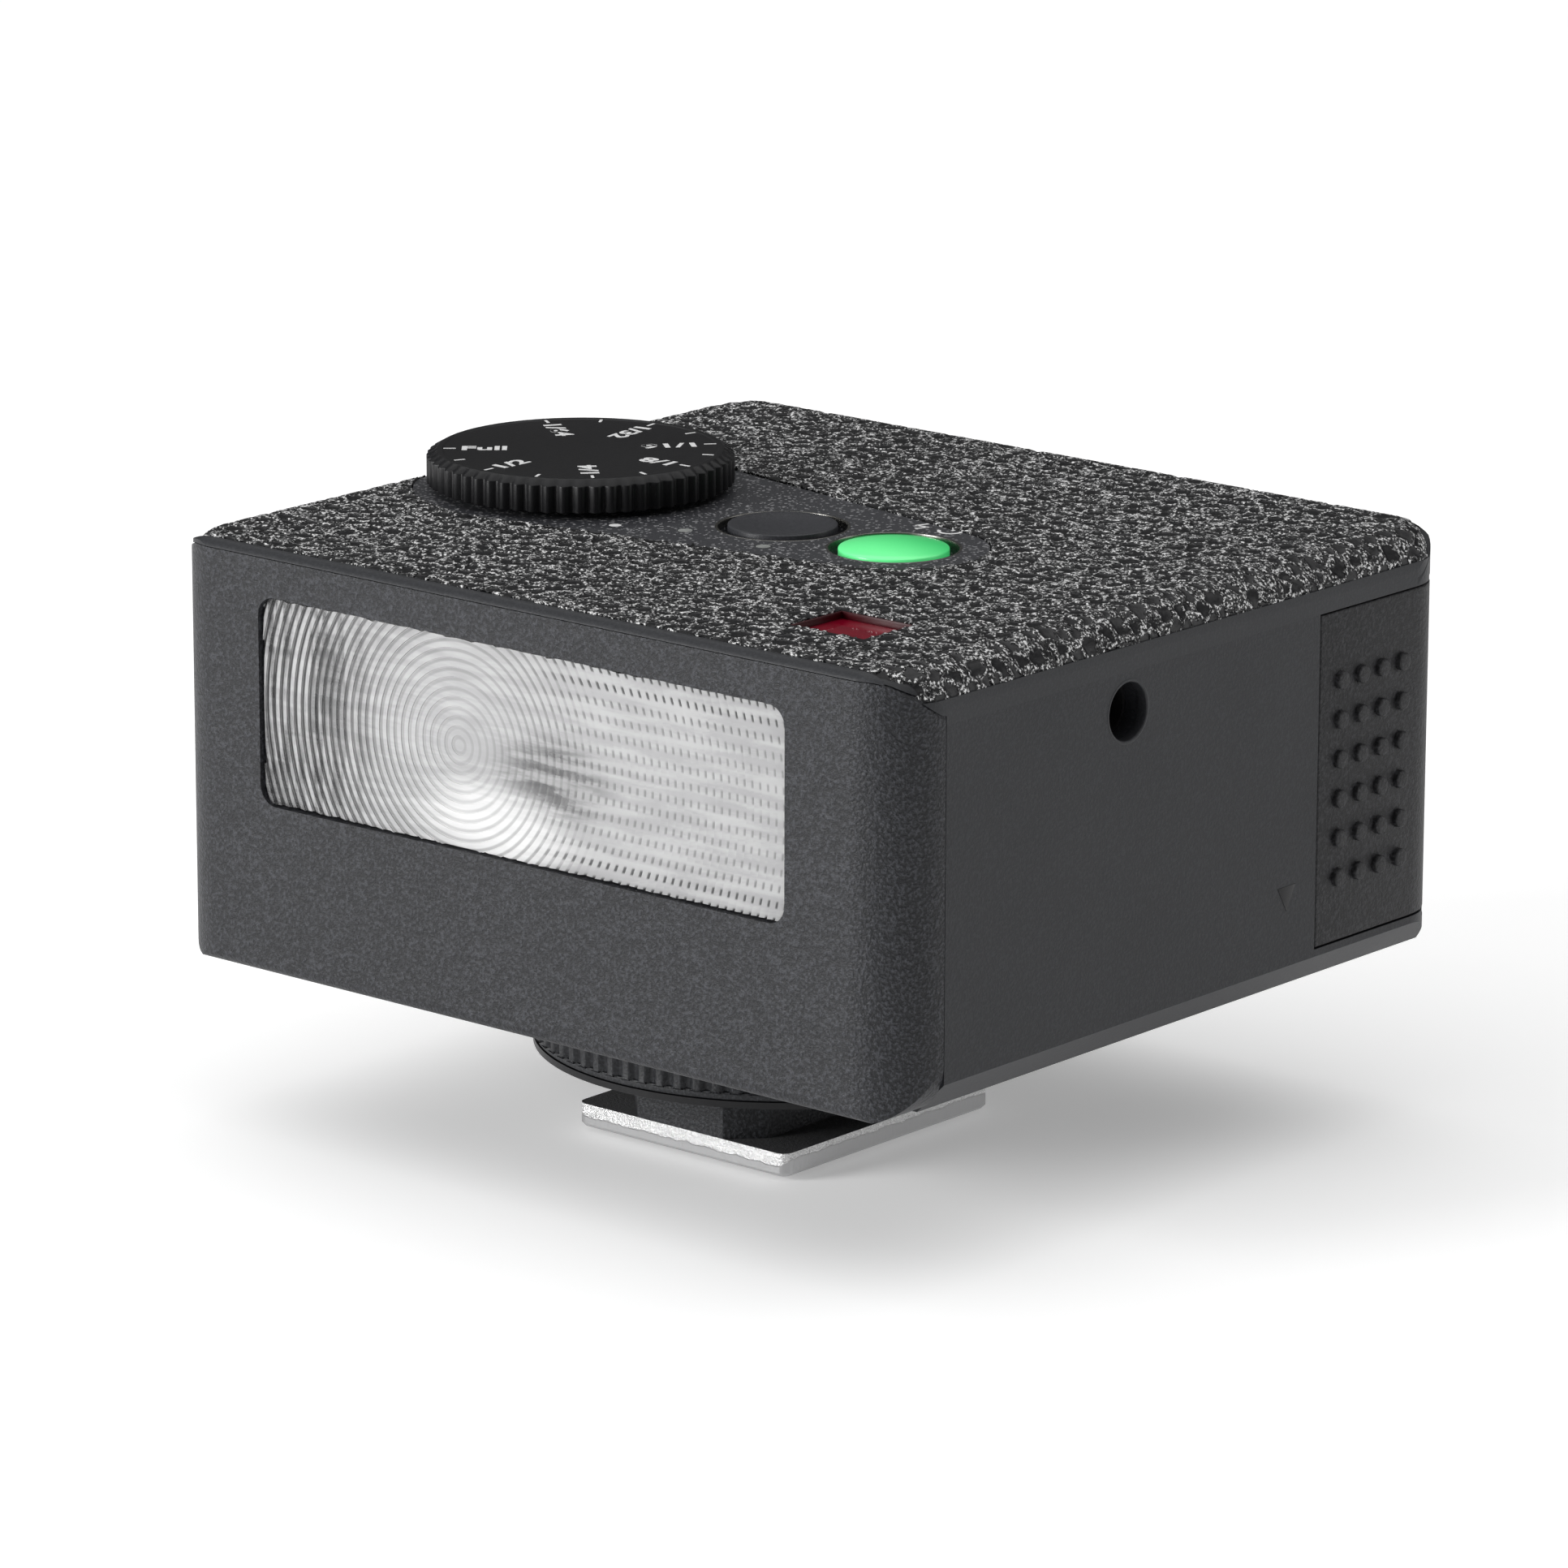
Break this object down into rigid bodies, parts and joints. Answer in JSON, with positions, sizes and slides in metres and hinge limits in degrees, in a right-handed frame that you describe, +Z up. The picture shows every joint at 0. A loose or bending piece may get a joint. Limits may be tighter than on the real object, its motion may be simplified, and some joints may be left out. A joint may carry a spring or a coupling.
{
  "type": "speedlight flash",
  "caption": "Small hot-shoe flash: boxy black case, Fresnel window in front, power dial and two buttons on top, battery door at the side, lock ring and shoe foot below.",
  "frame": {"origin": "centre of the shoe foot's underside", "axes": "+Z up out of the camera's shoe, -Y the way the flash fires, +X the side with the sync jack and the battery door"},
  "size_m": [0.0646, 0.0585, 0.0438],
  "materials": {
    "case_plastic": "fine spark-eroded matte black moulding",
    "bezel_plastic": "spark-eroded charcoal moulding",
    "cover_plastic": "smooth satin black moulding",
    "leatherette": "pebbled black leatherette",
    "plate_satin": "satin black with a fine metallic fleck",
    "dial_black": "satin black with white graduations",
    "button_black": "satin black cap",
    "button_green": "translucent green, lit from below",
    "clear_lens": "clear acrylic with moulded rings",
    "sensor_red": "deep red infrared-pass acrylic",
    "mirror_sheet": "bright anodised reflector sheet",
    "tube_glass": "borosilicate tube",
    "silicone": "translucent silicone",
    "electrode": "nickel",
    "board_green": "solder mask on glass-fibre board",
    "capacitor_sleeve": "shrink sleeve",
    "ferrite": "ferrite core",
    "winding": "enamelled copper",
    "coil_case": "potted coil",
    "chip_black": "moulded package",
    "switch_grey": "switch body",
    "light_white": "diffusing acrylic",
    "contact_metal": "gold flash on brass",
    "spring_steel": "plated spring wire",
    "cell_wrap": "plain cell sleeve on a steel can",
    "foot_steel": "sheared stainless sheet with blackened faces",
    "stem_plastic": "glass-filled nylon",
    "ring_plastic": "ribbed black moulding",
    "screw_steel": "black oxide screws"
  },
  "bodies": {
    "case": {"lower_housing": "case_plastic", "front_bezel": "bezel_plastic", "top_cover": "cover_plastic", "leatherette_wrap": "leatherette", "control_plate": "plate_satin", "bottom_pad": "cover_plastic", "fresnel_lens": "clear_lens", "reflector": "mirror_sheet", "flash_tube": "tube_glass", "tube_boots": "silicone", "tube_electrodes": "electrode", "sensor_window": "sensor_red", "slave_sensor": "chip_black", "rotary_switch": "switch_grey", "tact_switches": "switch_grey", "indicator_lights": "light_white", "indicator_leds": "light_white", "control_board": "board_green", "board_pillars": "contact_metal", "main_board": "board_green", "main_capacitor": "capacitor_sleeve", "transformer_core": "ferrite", "transformer_winding": "winding", "trigger_coil": "coil_case", "power_transistor": "chip_black", "sync_jack": "chip_black", "jack_springs": "contact_metal", "battery_cradle": "chip_black", "battery_cells": "cell_wrap", "battery_contacts": "spring_steel", "battery_spring": "spring_steel", "foot_stem": "stem_plastic", "foot_plate": "foot_steel", "contact_insulator": "chip_black", "contact_spring": "spring_steel", "case_screws": "screw_steel", "stem_screws": "screw_steel", "foot_screws": "screw_steel"},
    "dial": {"power_dial": "dial_black", "dial_spindle": "electrode"},
    "mode_key": {"mode_button": "button_black", "mode_plunger": "switch_grey"},
    "power_key": {"power_button": "button_green", "power_plunger": "switch_grey"},
    "door": {"battery_door": "case_plastic", "door_contact": "spring_steel"},
    "washer": {"clamp_washer": "ring_plastic"},
    "ring": {"lock_ring": "ring_plastic"},
    "pin": {"contact_pin": "contact_metal"}
  },
  "joints": [
    {"name": "dial_turn", "type": "hinge", "parent": "case", "child": "dial", "pos_m": [-0.0197, 0.00145, 0.0425], "axis": [0, 0, 1], "range_deg": [-192, 96]},
    {"name": "mode_press", "type": "slide", "parent": "case", "child": "mode_key", "axis": [0, 0, -1], "range_m": [0, 0.0005], "stiffness_N_per_m": 1500, "springref_m": -0.0002},
    {"name": "power_press", "type": "slide", "parent": "case", "child": "power_key", "axis": [0, 0, -1], "range_m": [0, 0.0005], "stiffness_N_per_m": 1500, "springref_m": -0.0002},
    {"name": "door_slide", "type": "slide", "parent": "case", "child": "door", "axis": [0, 1, 0], "range_m": [0, 0.016]},
    {"name": "washer_slide", "type": "slide", "parent": "case", "child": "washer", "axis": [0, 0, -1], "range_m": [0, 0.002]},
    {"name": "ring_turn", "type": "hinge", "parent": "washer", "child": "ring", "pos_m": [0, 0, 0.0084], "axis": [0, 0, 1], "range_deg": [-720, 0]},
    {"name": "pin_press", "type": "slide", "parent": "case", "child": "pin", "axis": [0, 0, 1], "range_m": [0, 0.00035], "stiffness_N_per_m": 1200, "springref_m": -0.0001, "deforming": ["contact_spring"]}
  ],
  "couplings": [
    {"joint": "ring_turn", "follows": "washer_slide", "rad_per_m": -6283.2}
  ]
}
